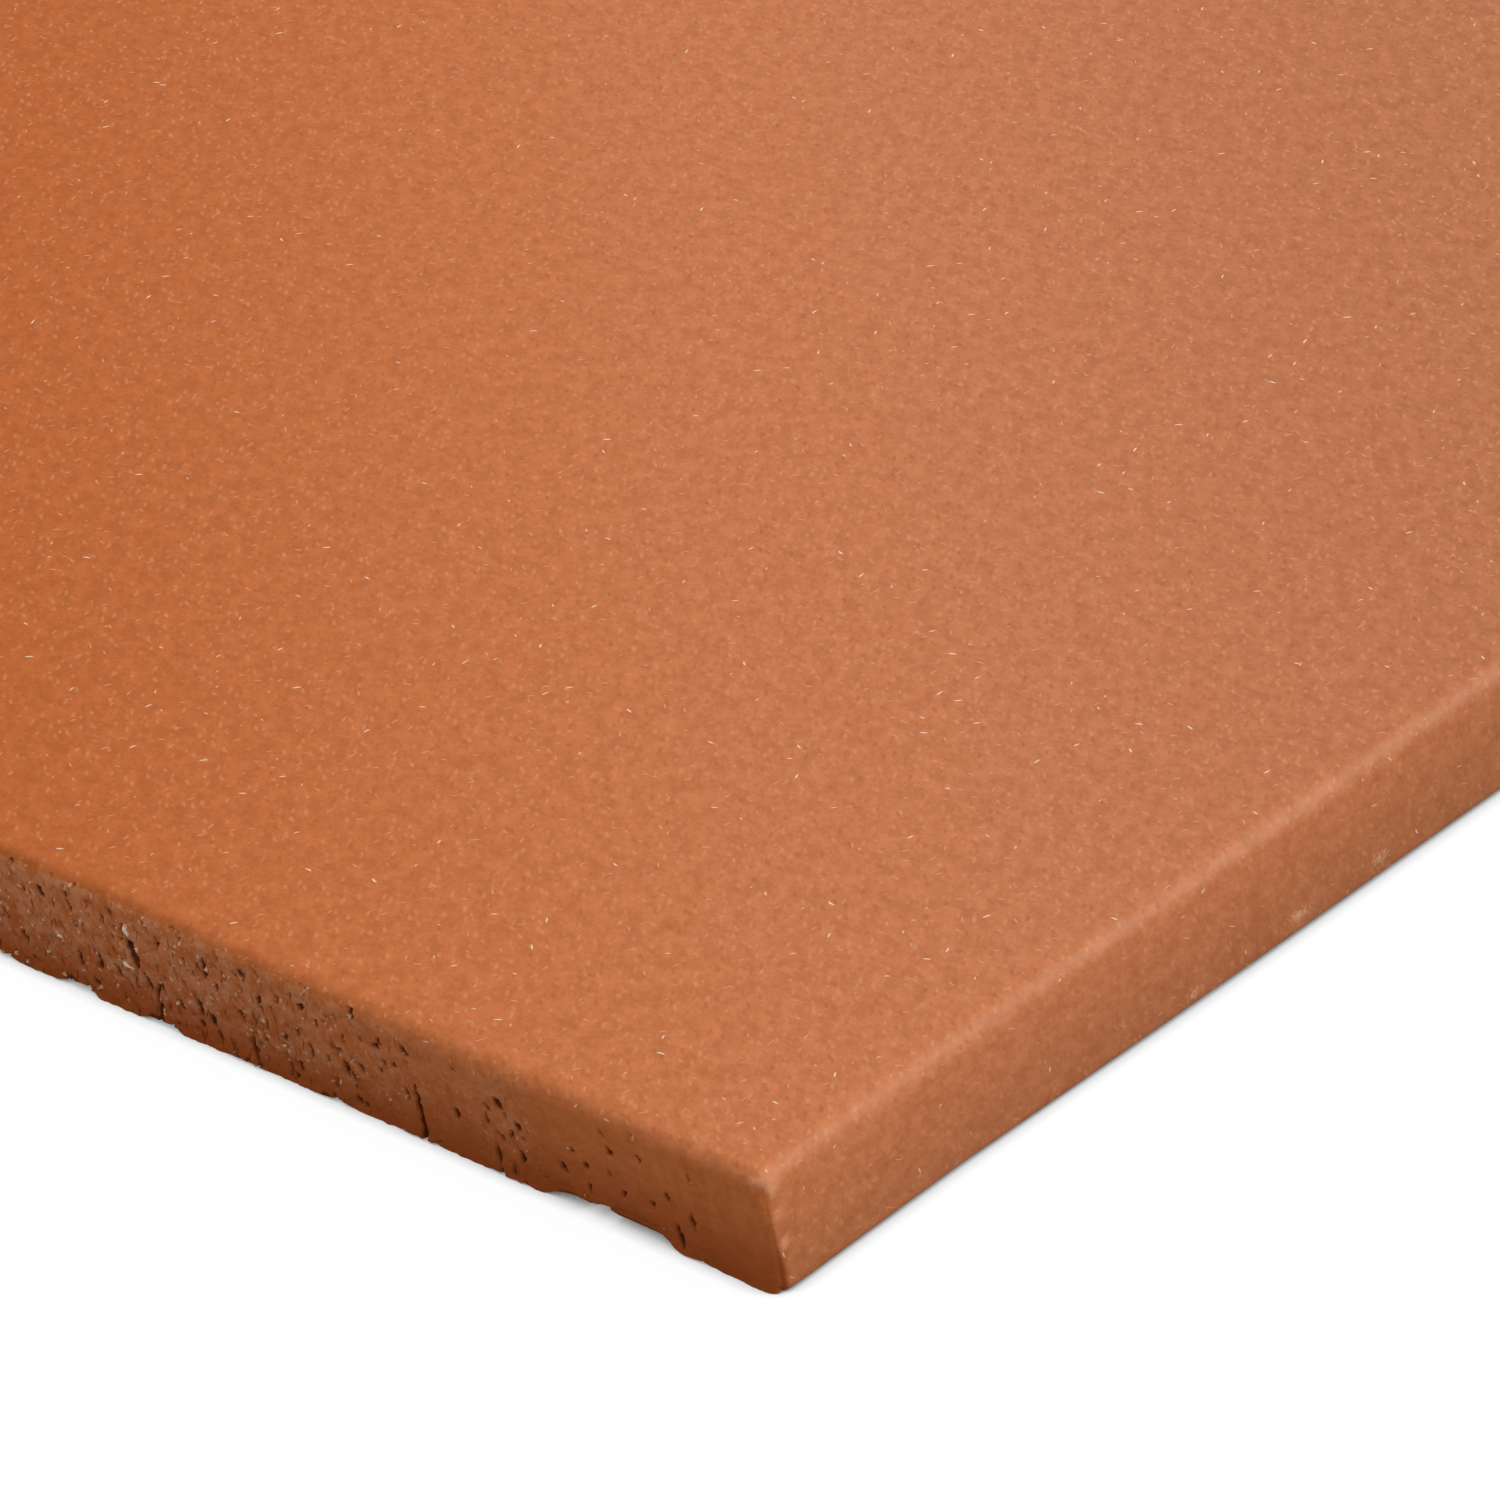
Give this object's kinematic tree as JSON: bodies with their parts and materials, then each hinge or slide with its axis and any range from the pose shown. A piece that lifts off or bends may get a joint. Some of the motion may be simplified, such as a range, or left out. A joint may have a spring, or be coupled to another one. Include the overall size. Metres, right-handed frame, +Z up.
{
  "type": "split floor tile",
  "caption": "Square unglazed red-brown split floor tile: extruded clay plate with rounded long edges, rough wire-cut ends and a grooved back that keys into its bed.",
  "frame": {"origin": "on the floor, under the middle of the tile, at the feet of the back's ribs", "axes": "+Z up out of the wear face, +X across the back's grooves from flank to flank, +Y along the grooves from wire cut to wire cut"},
  "size_m": [0.24, 0.24, 0.012],
  "materials": {
    "fired_clay": "matt, unglazed, with a fine sandy fire skin"
  },
  "bodies": {
    "root": {"split_tile": "fired_clay"}
  },
  "joints": []
}
